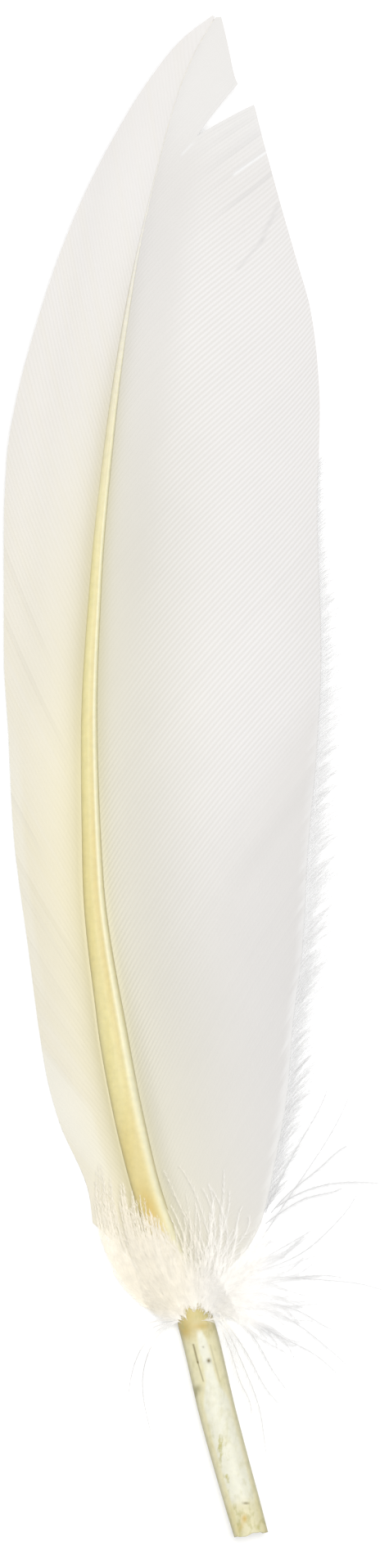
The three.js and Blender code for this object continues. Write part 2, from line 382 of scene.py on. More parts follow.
def horn_material():
    """The shaft: ivory horn with long streaks, and a pale hollow barrel with stains."""
    material, tree, shader = new_material("horn", 0.45, 0.2)
    streaks = between(tree, object_noise(tree, 420, 4.0, (1, 0.05, 1)), 0, 1, 0.3, 0.7)
    ivory = mix_colour(tree, streaks, seen(237, 225, 162), seen(242, 232, 177))
    tipward = mix_colour(tree, attribute(tree, "tipward"), ivory, seen(238, 235, 228))
    pale = mix_colour(tree, attribute(tree, "pale"), tipward, seen(244, 242, 222))
    # painted highlight along the shaft's right shoulder
    painted_highlight = mix_colour(tree, attribute(tree, "painted_highlight"), pale, seen(253, 248, 212))
    amber = mix_colour(tree, attribute(tree, "amber"), painted_highlight, seen(222, 190, 104))
    blotches = between(tree, object_noise(tree, 900, 5.0, (1, 0.5, 1)), 0, 1, 0.5, 0.66)
    factors = {0: blotches, 1: attribute(tree, "soiled")}
    stained = add_node(tree, "ShaderNodeMath", factors, operation="MULTIPLY").outputs[0]
    soiled = mix_colour(tree, stained, amber, seen(206, 200, 140))
    # olive: the horn's own stains, and painted shade at the barrel's sides and along the shaft's left
    # edge
    olive = mix_colour(tree, attribute(tree, "olive"), soiled, seen(186, 180, 138))
    dark = mix_colour(tree, attribute(tree, "dark"), olive, seen(120, 104, 50))
    mottle = between(tree, object_noise(tree, 900, 4.0), 0.96, 1.04, 0.3, 0.7)
    tree.links.new(mix_colour(tree, 1.0, dark, mottle, "MULTIPLY"), shader.inputs["Base Color"])
    bumped(tree, shader, object_noise(tree, 1600, 3.0, (1, 0.08, 1)), 0.2, 0.15)
    shader.inputs["Subsurface Weight"].default_value = 0.12
    shader.inputs["Subsurface Radius"].default_value = (1.0, 0.8, 0.4)
    shader.inputs["Subsurface Scale"].default_value = 1.5 * MM
    return material


# ---------------------------------------------------------------- shaft
SHAFT_SIDES = 112
BARREL_STEP, RACHIS_STEP, HOLLOW_STEP = 0.2, 0.8, 0.5  # from one section to the next
# Places across the shaft run from -1 at its left side to 1 at its right side
GROOVE_PLACE, GROOVE_WIDTH = 0.25, 0.24
CREST_PLACE, CREST_WIDTH = 0.64, 0.26
RACHIS_END = 0.7  # how far the rachis ends before the tip of the vanes


def cut_shape(across, angle):
    """How far the ragged cut end stands out along the axis."""
    slant = 0.3 * smooth_step(0.2, 0.95, across) - 0.3 * smooth_step(-0.55, -0.9, across)
    dent = 0.12 * bell(across, -0.45, 0.2) - 0.16 * bell(across, 0.15, 0.3)
    return slant + dent + 0.07 * np.sin(5 * angle) + 0.05 * np.sin(11 * angle + 1)


def shaft_rings(stations, shrink=0.0):
    """Sections of the shaft. shrink is how much smaller they are all round, for the hollow."""
    even = np.linspace(0, 2 * math.pi, SHAFT_SIDES, endpoint=False)[None, :]
    angle = even + 0.35 * np.cos(even)
    s = stations[:, None]
    squareness = 2.3 + 0.9 * smooth_step(-99, -80, s) - 0.9 * smooth_step(0, 80, s)  # an oval is 2
    power = 2 / squareness
    across = np.sign(np.cos(angle)) * np.abs(np.cos(angle)) ** power
    over = np.sign(np.sin(angle)) * np.abs(np.sin(angle)) ** power
    near_cut = smooth_step(CUT_END + 3, CUT_END, s)
    s = s - near_cut * cut_shape(across, angle)
    half = shaft_width(s) / 2
    ventral = smooth_step(0.0, 0.5, over) * smooth_step(-92, -70, s) * smooth_step(120, 70, s)
    slope = 0.12 * np.minimum(across - CREST_PLACE, 0)
    depth = 0.07 * smooth_step(-66, -45, s)
    raised = over + ventral * (slope - depth * bell(across, GROOVE_PLACE, GROOVE_WIDTH))
    inner_half = half - shrink
    place = beside_shaft(s, across * inner_half)
    height = lift(s) + half + raised * inner_half
    return np.concatenate([place, height[..., None]], -1), across, over


def make_shaft(material):
    barrel = np.arange(CUT_END, HOLLOW_END + 3, BARREL_STEP)
    rachis = np.arange(barrel[-1] + 0.3, TIP - RACHIS_END, RACHIS_STEP)
    outside, across, over = shaft_rings(np.r_[barrel, rachis])
    hollow = np.r_[np.arange(HOLLOW_END, CUT_END, -HOLLOW_STEP), CUT_END]
    inside, inside_across, inside_over = shaft_rings(hollow, BARREL_WALL)
    rings = np.concatenate([inside, outside])[None]
    points = rings.reshape(-1, 3)
    across = np.concatenate([inside_across, across])
    over = np.concatenate([inside_over, over])
    station = np.r_[hollow, barrel, rachis][:, None] * np.ones((1, SHAFT_SIDES))
    values = shaft_paint(rings[0, ..., 0], rings[0, ..., 1], across, over, station)
    turn = np.arange(SHAFT_SIDES) / SHAFT_SIDES * np.ones((rings.shape[1], 1))
    ring = np.arange(rings.shape[1])[:, None] / rings.shape[1] * np.ones((1, SHAFT_SIDES))
    uv = np.stack([turn, ring], -1).reshape(-1, 2)
    faces = tube_faces(1, rings.shape[1], SHAFT_SIDES)
    make_piece("quill_shaft", points, faces, material, "shaft", uv, values)


def spot(x, y, centre, size, turn=0.0):
    """A soft oval mark: 1 in its centre, fading out at `size` (its two half lengths)."""
    radians = math.radians(turn)
    right, up = x - centre[0], y - centre[1]
    first = (right * math.cos(radians) + up * math.sin(radians)) / size[0]
    second = (up * math.cos(radians) - right * math.sin(radians)) / size[1]
    return np.exp(-1.5 * (first**2 + second**2))


def streak(x, y, start, end, width):
    """A soft line from start to end."""
    line = np.subtract(end, start)
    f = np.clip(((x - start[0]) * line[0] + (y - start[1]) * line[1]) / line.dot(line), 0, 1)
    distance = np.hypot(x - start[0] - f * line[0], y - start[1] - f * line[1])
    return np.exp(-1.5 * (distance / width) ** 2)


# (station, half width of the barrel's whitish window, where the shaft's half width is 1)
WINDOW_HALF_WIDTH = [
    (-139, 0.55), (-115, 0.6), (-112, 0.35), (-110, 0.18), (-104, 0.16), (-102, 0.08), (-100, 0),
]


def dark_marks(x, y):
    """The barrel's slit in its two parts, a faint line, two dots and a mark near the cut end."""
    slit = 0.75 * streak(x, y, (-0.2, -104), (0.6, -107.2), 0.22)
    slit = slit + 0.6 * streak(x, y, (0.6, -107.2), (1.6, -110.6), 0.15)
    faint = 0.25 * streak(x, y, (2.9, -104.1), (4.6, -110.7), 0.2)
    dots = spot(x, y, (2.6, -106.9), (0.45, 0.5)) + 0.6 * spot(x, y, (1.6, -104.4), (0.22, 0.22))
    return slit + dots + 0.8 * spot(x, y, (9.4, -132.9), (0.7, 0.25)) + faint


def amber_marks(x, y):
    """The stains near the cut end, and the ochre where the barrel begins."""
    stain = spot(x, y, (9.2, -135.7), (0.7, 0.9)) + 0.7 * spot(x, y, (8.4, -137.3), (0.5, 1.0), -20)
    ochre = spot(x, y, (-1.9, -101.3), (1.6, 1.8), 20) + spot(x, y, (1.2, -100.6), (1.6, 0.7))
    return stain + 0.6 * ochre


def shaft_paint(x, y, across, over, station):
    """Where the horn is pale, amber, olive, soiled or dark, and where a highlight and shade are
    painted on it, from 0 to 1.
    """
    top = smooth_step(-0.1, 0.3, over)
    barrel = smooth_step(-98.5, -101.5, station)
    half_window = smooth_curve(WINDOW_HALF_WIDTH)(station)
    aside = np.abs(across - 0.07)
    window = smooth_step(half_window + 0.2, half_window, aside) * smooth_step(-100.9, -102.2, station)
    bottom = smooth_step(-131.5, -134, station)
    veiled = smooth_step(-80, -90, station) * smooth_step(-96.5, -94, station)
    collar = smooth_step(-95.5, -98, station) * smooth_step(-104, -101, station) * (1 - window)
    grooved = smooth_step(-75, -45, station) * smooth_step(50, 10, station)
    # painted shade: the groove darker amber, for the shade in its recess
    groove = bell(across, GROOVE_PLACE, GROOVE_WIDTH) * grooved
    # painted shade along the shaft's left edge, where it meets the vane
    left_edge_shade = smooth_step(0.93, 1.0, -across) * smooth_step(-20, -35, station)
    low = smooth_step(-45, -62, station)
    # painted highlight along the shaft's right shoulder
    painted_highlight = bell(across, CREST_PLACE + 0.07 * low, CREST_WIDTH + 0.05 * low)
    painted_highlight = painted_highlight * smooth_step(-98, -88, station) * smooth_step(100, 40, station)
    flap = spot(x, y, (0.6, -112.0), (0.9, 0.8)) + spot(x, y, (0.2, -113), (0.5, 0.9))
    patch = 0.5 * spot(x, y, (-8.2, -79), (1.4, 4.5), 20)
    patch = patch + 0.3 * smooth_step(-54, -70, station) * smooth_step(-92, -80, station)
    middle = smooth_step(0, -15, station) * smooth_step(-48, -32, station)
    patch = (patch + 0.1 * middle) * (1 - 0.9 * painted_highlight) * (1 - barrel)
    amber = 0.25 * groove + 0.3 * collar + amber_marks(x, y) + patch
    # painted shade at the barrel's two sides
    barrel_side_shade = 0.4 * barrel * smooth_step(0.8, 0.96, np.abs(across))
    soiled = streak(x, y, (4.4, -121), (6.8, -130.2), 1.1) + 0.6 * bottom + 0.5 * collar
    values = {
        "tipward": smooth_step(25, 110, station),
        "pale": (0.45 * barrel + 0.55 * window) * (1 - 0.5 * bottom) + 0.9 * veiled,
        "painted_highlight": painted_highlight * smooth_step(-0.6, 0, over),
        "amber": amber * top,
        "olive": 0.2 * collar + barrel_side_shade + 0.1 * bottom + 0.8 * flap * top + 0.28 * left_edge_shade,
        "soiled": (soiled + 0.25 * barrel) * top,
        "dark": dark_marks(x, y) * top,
    }
    return {name: np.clip(value, 0, 1) for name, value in values.items()}


# ---------------------------------------------------------------- vanes
def vane_height(x, y, side, curl, saddle):
    """Height of a vane: it rises a little to the shaft (by saddle times its width) and to its edge."""
    flat_width, widest, rise = curl
    aside = past_shaft(x, y, side)
    curled = np.maximum(0, (aside - flat_width) / (widest - flat_width))
    return VANE_BASE + lift(y) + rise * curled**2 + saddle * shaft_width(y) * fading(aside, 1.4)


def spaced(start, end, spacing):
    """Stations from start to end, with the given spacing at each place."""
    step_at = smooth_curve(spacing)
    stations = [start]
    while stations[-1] < end:
        stations.append(stations[-1] + float(step_at(stations[-1])))
    return np.array(stations[:-1])


def barb_curves(table, roots, side, edge_x, samples, handles):
    """Plan curves of barbs, one for each root station: (barbs, samples, 2). They start inside
    the shaft. The handles are the lengths of a Bezier's handles, as parts of the barb's length."""
    rows = np.array(table, float)
    ends, root_angles, end_angles = (smooth_curve(rows[:, [0, k]])(roots) for k in (1, 2, 3))
    outwards = 0.42 - 0.17 * smooth_step(85, 115, roots)
    first = beside_shaft(roots, side * shaft_width(roots) * outwards)
    last = np.stack([edge_x(ends), ends], -1)
    length = np.linalg.norm(last - first, axis=-1, keepdims=True)
    second = first + direction(root_angles) * length * handles[0]
    third = last - direction(end_angles) * length * handles[1]
    return bezier(first, second, third, last, samples)


def bezier(first, second, third, last, samples):
    t = np.linspace(0, 1, samples)[None, :, None]
    first, second, third, last = (p[:, None] for p in (first, second, third, last))
    rising = (1 - t) ** 3 * first + 3 * t * (1 - t) ** 2 * second
    return rising + 3 * t**2 * (1 - t) * third + t**3 * last


def open_splits(curves, roots, side, splits):
    """Parts the barbs where the vane has split. Returns the curves and how far each point rises."""
    tipward = side * left_of(curves)
    u = np.linspace(0, 1, curves.shape[1])[None, :]
    rise = np.zeros(curves.shape[:2])
    for station, start, gap, step, reach in splits:
        opened = smooth_step(start, 1.05, u)
        above = (roots > station)[:, None]
        share = fading(np.abs(roots - station), reach)[:, None]
        curves = curves + tipward * (np.where(above, 0.5, -0.5) * gap * share * opened)[..., None]
        rise += np.where(above, step, 0) * share * np.sqrt(opened)
    return curves, rise


def open_notch(curves, roots):
    """Bends the barbs on both sides of the notch away from each other, from its apex on."""
    station, apex, width, reach = NOTCH
    opened = np.clip((np.linspace(0, 1, curves.shape[1]) - apex) / (1 - apex), 0, 1)[None, :]
    share = np.sign(roots - station) * fading(np.abs(roots - station), reach)
    return curves + left_of(curves) * (0.5 * width * share[:, None] * opened)[..., None]


# Section of one barb: (place across from -1 to 1, height above its web). The rib is in the
# middle, and the last three points are its underside.
BARB_SECTION = [
    (1.0, -0.008), (0.62, 0.0), (0.3, 0.02), (0.0, 0.032), (-0.3, 0.02), (-0.62, 0.0),
    (-1.08, -0.018), (-1.08, -0.1), (0.0, -0.1), (1.0, -0.06),
]
# (station, half the width that a barb of the inner vane can have at most)
WIDEST_HALF_BARB = [(-30, 0.8), (20, 0.6), (70, 0.42)]
WIDEST_HALF_OUTER_BARB = 0.7


def half_steps(curves, widest):
    """Vectors halfway to each next barb, but never so wide that a real split is bridged."""
    step = np.diff(curves, axis=0) / 2
    apart = np.abs((left_of(curves)[:-1] * step).sum(-1))
    return step * np.minimum(1, widest / np.maximum(apart, 1e-6))[..., None]


def barb_strips(curves, rise, height, relief, widest):
    """Closed strips along barb curves, as (barbs, samples, section, 3)."""
    step = half_steps(curves, widest)
    ahead = np.concatenate([step, step[-1:]])
    behind = np.concatenate([step[:1], step])
    rings = np.empty((*curves.shape[:2], len(BARB_SECTION), 3))
    for k, (across, above) in enumerate(BARB_SECTION):
        offset = ahead if across >= 0 else behind
        rings[:, :, k, :2] = curves + across * offset
        x, y = rings[:, :, k, 0], rings[:, :, k, 1]
        thick = relief(x, y) if above > 0 else 1.0
        rings[:, :, k, 2] = height(x, y) + rise + above * thick
    return rings


def vane_uv(rings):
    """Each barb takes its own row of the map."""
    barbs, samples, sides = rings.shape[:3]
    u = np.broadcast_to(np.linspace(0.002, 0.998, samples)[None, :, None], rings.shape[:3])
    row = np.arange(barbs)[:, None, None] + np.linspace(0.05, 0.95, sides)[None, None, :]
    v = np.broadcast_to(row / barbs, rings.shape[:3])
    return np.stack([u, v], -1).reshape(-1, 2)


def rims(rings):
    """True at the ends of each barb and on its two rims, where its top meets its underside."""
    rim = np.array([abs(place) >= 1 for place, _ in BARB_SECTION])
    sharp = np.broadcast_to(rim, rings.shape[:3]).copy()
    sharp[:, [0, -1]] = True
    return sharp.ravel()


def ribbing():
    """1 along the middle of each barb, 0 at its sides, for each point of the section."""
    across = np.array([place for place, _ in BARB_SECTION])
    return (0.5 + 0.5 * np.cos(math.pi * np.clip(across, -1, 1)))[None, None, :]


def vane_values(relief, painted_glow, dim, pale, shade):
    """Numbers for a vane's material. The shade may go beyond 1, where the vane is brightest."""
    # the shade is painted shade and light that multiplies the colour
    values = {"rib": ribbing() * relief, "painted_glow": painted_glow, "dim": dim, "pale": pale}
    return {**{name: np.clip(value, 0, 1) for name, value in values.items()}, "shade": shade}


# (station, distance from the shaft where the inner vane's ribs start to show, or start to fade)
RIBS_FROM = [(-20, -8), (0, -3), (22, 3), (45, 6), (80, 6), (110, 4)]
RIBS_UNTIL = [(-62, -8), (-45, 5), (-22, 13), (0, 24), (20, 40)]


def inner_height(x, y):
    saddle = 0.25 + 0.35 * smooth_step(50, 90, y) + 0.25 * smooth_step(-20, -60, y)
    return vane_height(x, y, 1, INNER_CURL, saddle)


def inner_relief(x, y):
    """How much of its full height the rib of a barb has."""
    aside = past_shaft(x, y, 1)
    near = smooth_step(0, 6, aside - smooth_curve(RIBS_FROM)(y))
    far = smooth_step(12, 0, aside - smooth_curve(RIBS_UNTIL)(y))
    return (0.05 + 0.95 * near * far) * (0.2 + 0.8 * smooth_step(125, 85, y))


def inner_paint(rings, roots):
    """Numbers for the material of the inner vane. u runs along each barb from 0 to 1."""
    x, y = rings[..., 0], rings[..., 1]
    u = np.linspace(0, 1, INNER_SAMPLES)[None, :, None]
    root = roots[:, None, None]
    aside = past_shaft(x, y, 1)
    to_edge = inner_edge_x(y) - x
    tint = rng.normal(0, 1, root.shape)  # each barb is a little lighter or darker
    # painted shade in a band some millimetres beside the shaft, where the vane dips
    valley_shade = bell(aside, 9, 8) * smooth_step(80, 40, y) * smooth_step(-75, -35, y)
    # painted light along the shaft, against the shade that it casts on the vane
    beside = fading(aside, 4) * smooth_step(10, -50, y)
    shaft_side_light = fading(aside, 0.8) * smooth_step(20, -30, y)
    # painted light: the splits near the tip painted white, for the light that shows through them
    gap = streak(x, y, (13.1, 114.2), (7.1, 110.1), 0.28)
    gap = gap + 0.6 * streak(x, y, (-0.2, 116), (-2.3, 113.8), 0.2)
    # painted shade along a bend in the barbs
    crease_shade = streak(x, y, (15.4, 105), (12.2, 98), 0.5) + streak(x, y, (12.2, 98), (8, 93), 0.35)
    ruffled = smooth_step(98, 106, y) * smooth_step(124, 116, y) * smooth_step(0.45, 0.8, u)
    frayed = smooth_step(1.5, 0, to_edge + 0.3 * tint) * smooth_step(35, -15, y)
    # painted shade in a soft band below the split at station -51.4
    shade_below_step = bell(root, -54, 2.5) * smooth_step(0.45, 0.7, u)
    # painted light: the shaft's yellow light painted onto the vane beside it
    painted_glow = 0.47 * bell(aside, 0, 16) * (0.1 + 0.9 * smooth_step(100, 10, y))
    painted_glow = painted_glow + 0.6 * fading(aside, 1.3) * smooth_step(100, 50, y)
    # darker towards the base, and painted shade near the free edge, where the vane curls up away from
    # the light
    dim = 0.55 * smooth_step(30, -60, y) + 0.15 * np.exp(-to_edge / 6) * smooth_step(60, 30, y)
    dim = dim + 0.3 * smooth_step(14, 0, aside) * smooth_step(125, 95, y)
    dim = dim + (0.025 + 0.3 * ruffled) * tint + 0.5 * crease_shade
    pale = gap + 0.5 * frayed + 0.3 * smooth_step(108, 122, y)
    shade = 0.965 - 0.02 * smooth_step(10, 40, y) + 0.005 * smooth_step(105, 120, y)
    shade = shade - 0.06 * valley_shade + 0.1 * beside - 0.03 * shade_below_step + 0.2 * shaft_side_light
    return vane_values(inner_relief(x, y), painted_glow, dim, pale, shade)


def make_inner_vane(material):
    """Makes the wide vane and returns the plan curves of its barbs."""
    lower = spaced(INNER_BARBS[0][0], INNER_BARBS[-1][0], INNER_SPACING)
    upper = np.arange(TIP_BARBS[0][0], TIP_BARBS[-1][0], TIP_SPACING)
    roots = np.r_[lower, upper]
    curves = np.concatenate(
        [
            barb_curves(INNER_BARBS, lower, 1, inner_edge_x, INNER_SAMPLES, (0.42, 0.3)),
            barb_curves(TIP_BARBS, upper, 1, inner_edge_x, INNER_SAMPLES, (0.33, 0.33)),
        ]
    )
    curves, rise = open_splits(open_notch(curves, roots), roots, 1, INNER_SPLITS)
    inward = smooth_step(0.48, 0.38, np.linspace(0, 1, INNER_SAMPLES))
    widest = smooth_curve(WIDEST_HALF_BARB)(roots[:-1])[:, None] + 0.5 * inward
    rings = barb_strips(curves, rise, inner_height, inner_relief, widest)
    make_piece(
        "inner_vane_barbs", rings.reshape(-1, 3), tube_faces(*rings.shape[:3]), material,
        "inner_vane", vane_uv(rings), inner_paint(rings, roots), rims(rings),
    )
    return curves


# (station, how creamy the outer vane is)
CREAM = [(-70, 0.5), (-38, 0.65), (-15, 0.8), (7, 0.6), (37, 0.4), (60, 0.2), (112, 0)]


def outer_height(x, y):
    return vane_height(x, y, -1, OUTER_CURL, 0.5 + 0.1 * smooth_step(-30, 0, y))


def outer_relief(_, y):
    """How much of its full height the rib of a barb has."""
    return 0.2 + 0.25 * smooth_step(20, 40, y) * smooth_step(110, 90, y)


def outer_crease_shadows(root, u):
    """Painted shadow lines along the splits of the outer vane, each with a softer one below it."""
    crease_shade = np.zeros(np.broadcast(root, u).shape)
    for station, start, *_ in OUTER_SPLITS:
        line = bell(root, station, 0.5) + 0.35 * bell(root, station - 2, 2)
        crease_shade = crease_shade + line * smooth_step(start, start + 0.25, u)
    return crease_shade


def outer_paint(rings, roots):
    """Numbers for the material of the outer vane. u runs along each barb from 0 to 1."""
    x, y = rings[..., 0], rings[..., 1]
    u = np.linspace(0, 1, OUTER_SAMPLES)[None, :, None]
    root = roots[:, None, None]
    aside = past_shaft(x, y, -1)
    tint = rng.normal(0, 1, root.shape)  # each barb is a little lighter or darker
    # the fold and the band along the curled edge are paler: the vane's lighter underside there, and
    # painted light where they face the light
    fold = smooth_step(-66.5, -68.5, root) * smooth_step(0.3, 0.42, u) * smooth_step(-88, -78, root)
    band = smooth_step(-10, -25, root) * smooth_step(-64, -50, root) * smooth_step(0.78, 0.9, u)
    low = smooth_step(15, -45, y)
    # painted light along the shaft, against the shade that it casts on the vane
    beside = fading(aside, 2) * smooth_step(30, 0, y)
    shaft_side_light = fading(aside, 0.8) * smooth_step(20, -30, y)
    # painted shade beside the shaft
    middle = fading(aside, 5) * smooth_step(0, 25, y) * smooth_step(110, 60, y)
    # painted light on the curled edge, which tilts away from the light
    rim = smooth_step(9, 14, aside) * smooth_step(0, 30, y)
    # painted light: the shaft's yellow light painted onto the vane beside it, which also lightens the
    # shade the shaft casts
    painted_glow = 0.8 * fading(aside, 6) * smooth_step(110, -20, y)
    painted_glow = painted_glow + 0.4 * fading(aside, 1.2) * smooth_step(100, 50, y)
    dim = smooth_curve(CREAM)(y) + 0.04 * tint
    pale = np.broadcast_to(0.75 * fold + 0.45 * band, x.shape)
    shade = 0.975 - 0.035 * low + 0.05 * rim - 0.07 * middle
    shade = shade - 0.04 * outer_crease_shadows(root, u) + 0.07 * beside + 0.12 * shaft_side_light
    return vane_values(outer_relief(x, y), painted_glow, dim, pale, shade)


def make_outer_vane(material):
    roots = spaced(OUTER_BARBS[0][0], OUTER_BARBS[-1][0], OUTER_SPACING)
    curves = barb_curves(OUTER_BARBS, roots, -1, outer_edge_x, OUTER_SAMPLES, (0.33, 0.33))
    curves, rise = open_splits(curves, roots, -1, OUTER_SPLITS)
    rings = barb_strips(curves, rise, outer_height, outer_relief, WIDEST_HALF_OUTER_BARB)
    faces = [f[:, ::-1] for f in tube_faces(*rings.shape[:3])]
    make_piece(
        "outer_vane_barbs", rings.reshape(-1, 3), faces, material, "outer_vane",
        vane_uv(rings), outer_paint(rings, roots), rims(rings),
    )


# ---------------------------------------------------------------- down
FINE_SAMPLES = 60  # points along a curve before it is cut to length
LOWEST_HAIR = 0.15  # height above the floor
DOWN_ROOT = (-1, -95)  # where the tufts are densest
DOWN_LOWER_EDGE = -100  # station


def guide_curves(guides, samples):
    """Curves from rows of eight numbers, the plan coordinates of a Bezier's four points."""
    guides = np.array(guides, float)
    return bezier(*(guides[:, k : k + 2] for k in (0, 2, 4, 6)), samples)


def points_along(lines, places):
    """Points on polylines and the directions there. Places count the segments from the start."""
    low = np.minimum(places.astype(int), lines.shape[1] - 2)
    mix = (places - low)[..., None]
    rows = np.arange(len(lines))[:, None]
    first, second = lines[rows, low], lines[rows, low + 1]
    return first * (1 - mix) + second * mix, normalised(second - first)


def fan_curves(guides, count, samples, spread, shortest):
    """Curves between the guides of a fan. Spread is how far their points stray, and shortest is
    the part of its curve that the shortest one keeps."""
    guides = np.array(guides, float)
    place = np.sort(rng.uniform(0, len(guides) - 1, count))
    low = np.minimum(place.astype(int), len(guides) - 2)
    mix = (place - low)[:, None]
    control = guides[low] * (1 - mix) + guides[low + 1] * mix
    control = control + rng.normal(0, spread, control.shape)
    plan = guide_curves(control, FINE_SAMPLES)
    reach = rng.uniform(shortest, 1, count)[:, None] * np.linspace(0, FINE_SAMPLES - 1, samples)
    return points_along(plan, reach)[0]


def wander(plan, amount):
    """Lets each filament sway from side to side, more so towards its tip."""
    t = np.linspace(0, 1, plan.shape[1])[None, :]
    phase = rng.uniform(0, 2 * math.pi, (len(plan), 1))
    waves = rng.uniform(0.6, 1.8, (len(plan), 1))
    swing = amount * t**1.5 * np.sin(phase + 2 * math.pi * waves * t)
    return plan + left_of(plan) * swing[..., None]


def barbules(lines, per_side, longest, radius, angle):
    """Fine hairs on both sides of each filament, at about this angle to it."""
    strands, samples = lines.shape[:2]
    t = np.linspace(0.04, 0.985, per_side)[None, :] * np.ones((strands, 1))
    t = np.clip(t + rng.normal(0, 0.006, t.shape), 0, 0.999)
    base, along = points_along(lines, t * (samples - 1))
    sideways = normalised(np.cross(along, [0.0, 0.0, 1.0]))
    tips = []
    for side in (-1, 1):
        turn = np.radians(rng.normal(angle, 9, t.shape))[..., None]
        tilt = rng.normal(0, 0.12, t.shape)[..., None]
        heading = along * np.cos(turn) + side * sideways * np.sin(turn)
        heading = normalised(heading + np.array([0.0, 0.0, 1.0]) * tilt)
        reach = longest * (1 - 0.7 * t**2)[..., None] * rng.uniform(0.55, 1.1, t.shape)[..., None]
        tips.append(base + heading * reach)
    bases = np.concatenate([base, base]).reshape(-1, 3)
    tips = np.concatenate(tips).reshape(-1, 3)
    tips[:, 2] = np.maximum(tips[:, 2], LOWEST_HAIR)
    return blades(bases, tips, radius)


def density(points, dense_to):
    """1 near the root of the tufts and 0 far from it, which comes sooner below their lower edge."""
    from_root = np.hypot(points[:, 0] - DOWN_ROOT[0], points[:, 1] - DOWN_ROOT[1])
    from_root = from_root + 3 * np.maximum(0, DOWN_LOWER_EDGE - points[:, 1])
    return smooth_step(dense_to + 8, dense_to - 5, from_root)


def make_down(name, node, material, plan, height, thickness, hairs, warmth, dense_to):
    """A tuft: filaments along plan curves, each with the hairs that barbules describes. warmth is
    a function of the points, and dense_to is how far from its root the tuft is dense."""
    t = np.linspace(0, 1, plan.shape[1])[None, :]
    z = height(plan[..., 0], plan[..., 1], np.broadcast_to(t, plan.shape[:2]))
    lines = np.concatenate([plan, z[..., None]], -1)
    radii = thickness * (1 - 0.75 * t) * np.ones((len(lines), 1))
    ring_points = thin_tubes(lines, radii).reshape(-1, 3)
    ring_faces = tube_faces(*lines.shape[:2], TUBE_SIDES)
    hair_points, hair_faces = barbules(lines, **hairs)
    points = np.concatenate([ring_points, hair_points])
    faces = [*ring_faces, *(f + len(ring_points) for f in hair_faces)]
    low, high = points.min(0), points.max(0)
    uv = ((points - low) / (high - low))[:, :2]
    hair_density = 0.3 + 0.7 * density(hair_points, dense_to)  # hairs are lighter than filaments
    dense = np.concatenate([density(ring_points, dense_to), hair_density])
    values = {"warmth": warmth(points), "dense": dense}
    flat = np.ones(len(points), bool)
    make_piece(name, points, faces, material, node, uv, values, flat)


def drape(clearance):
    """Height of a filament that lies over the shaft and sinks to the vanes beside it."""

    def height(x, y, t):
        half = shaft_width(y) / 2
        from_axis = np.abs(x - centre_x(y))
        on_shaft = smooth_step(half + 7, 0.4 * half, from_axis)
        return np.maximum(lift(y) + (2 * half + clearance) * on_shaft, 1.2 + clearance)

    return height


# Guides of the down, in the form that guide_curves takes
OUTER_LOBE = [
    (-3, -99.6, -10.5, -97.2, -19.3, -89, -19, -73),
    (-3, -99.1, -9, -96, -17, -89, -17, -69),
    (-2.8, -98.4, -7, -94.5, -13.5, -88, -13.8, -71),
    (-2.4, -97.6, -5, -93.5, -9.5, -88, -11, -75),
    (-1.6, -96.8, -3, -94, -6, -90, -7.6, -79),
    (0.4, -96.6, -0.6, -94, -2.4, -90, -4, -83),
]
OUTER_WISPS = [
    (-3.4, -99.9, -7.5, -100.4, -10, -102, -11.5, -104.4),
    (-3, -99.6, -8, -101.3, -12, -106, -12.1, -113.1),
    (-3, -99.8, -9, -102, -10.8, -110, -8.3, -120.3),
    (-3.2, -99.4, -6.5, -99.6, -9, -100, -12, -101.5),
]
INNER_PLUMES = [
    (2, -94, 13, -90, 25, -88, 29.2, -76.5), (2, -95, 13, -90.5, 22, -91, 34.4, -94.5),
    (2, -95.5, 9, -93, 13, -92.5, 17, -93.8), (3, -96, 13, -97, 21, -99.5, 27.6, -108),
    (3, -97, 10, -99, 19, -104, 26.2, -109.3), (3, -95.5, 12, -95, 19, -98, 25.4, -101),
    (4, -97, 9, -99.5, 13.5, -106, 16.6, -112.7), (4.3, -98, 7.5, -102, 11, -109, 15.4, -114.8),
    (4.5, -99, 9, -106, 12, -116, 13.6, -124), (4.5, -100, 7, -106, 9, -112, 10.3, -116.7),
    (4, -96.5, 9, -98, 13, -101, 14.8, -104.5), (9, -90, 15, -80, 22, -72, 28, -58.5),
    (13, -80, 16, -72, 21, -66, 23.9, -57.2), (14, -80, 19, -74, 24, -71, 28, -68),
    (15, -79, 21, -74.5, 28, -73.5, 33.8, -74.3), (13, -82, 18, -78, 23, -76, 27, -75.6),
    (2, -94.5, 10, -90, 16, -87, 21, -83), (2, -95, 12, -92, 20, -91.5, 27, -92),
]
INNER_FAN = [
    (1, -95, 8, -90, 14, -87, 19, -82), (2, -95.5, 10, -92, 18, -91, 26, -91),
    (2.4, -96.5, 10, -96, 17, -98, 23, -101), (2.8, -97.5, 9, -99, 15, -103, 19, -108),
]
RACHIS_FAN = [
    (-3, -97, -5, -93.5, -8, -89, -9, -82), (-1.5, -97, -3, -92.5, -5.5, -88, -7, -82),
    (1.6, -97, 1.5, -91, 1, -84, -1.5, -74), (1.9, -97.3, 3.4, -90, 4.4, -82, 4.3, -74),
    (2.3, -97.4, 6, -91, 10, -85.5, 13.5, -80.5), (3, -97.6, 7, -93, 12, -90, 17, -87),
]
# Long thin arcs that cross the shaft and the inner vane
RACHIS_ARCS = [
    (3, -96.5, 3.5, -90, -0.5, -82, -6, -72), (3, -96, 5, -88, 2, -79, -3, -71),
    (3.2, -96.5, 7, -90, 7, -82, 3, -75), (2, -96, -1, -88, -6, -83, -13, -79),
    (2.6, -96, 5, -88, 5.6, -80, 5.2, -72), (1, -96.5, -3, -91, -9, -87, -15, -84),
]


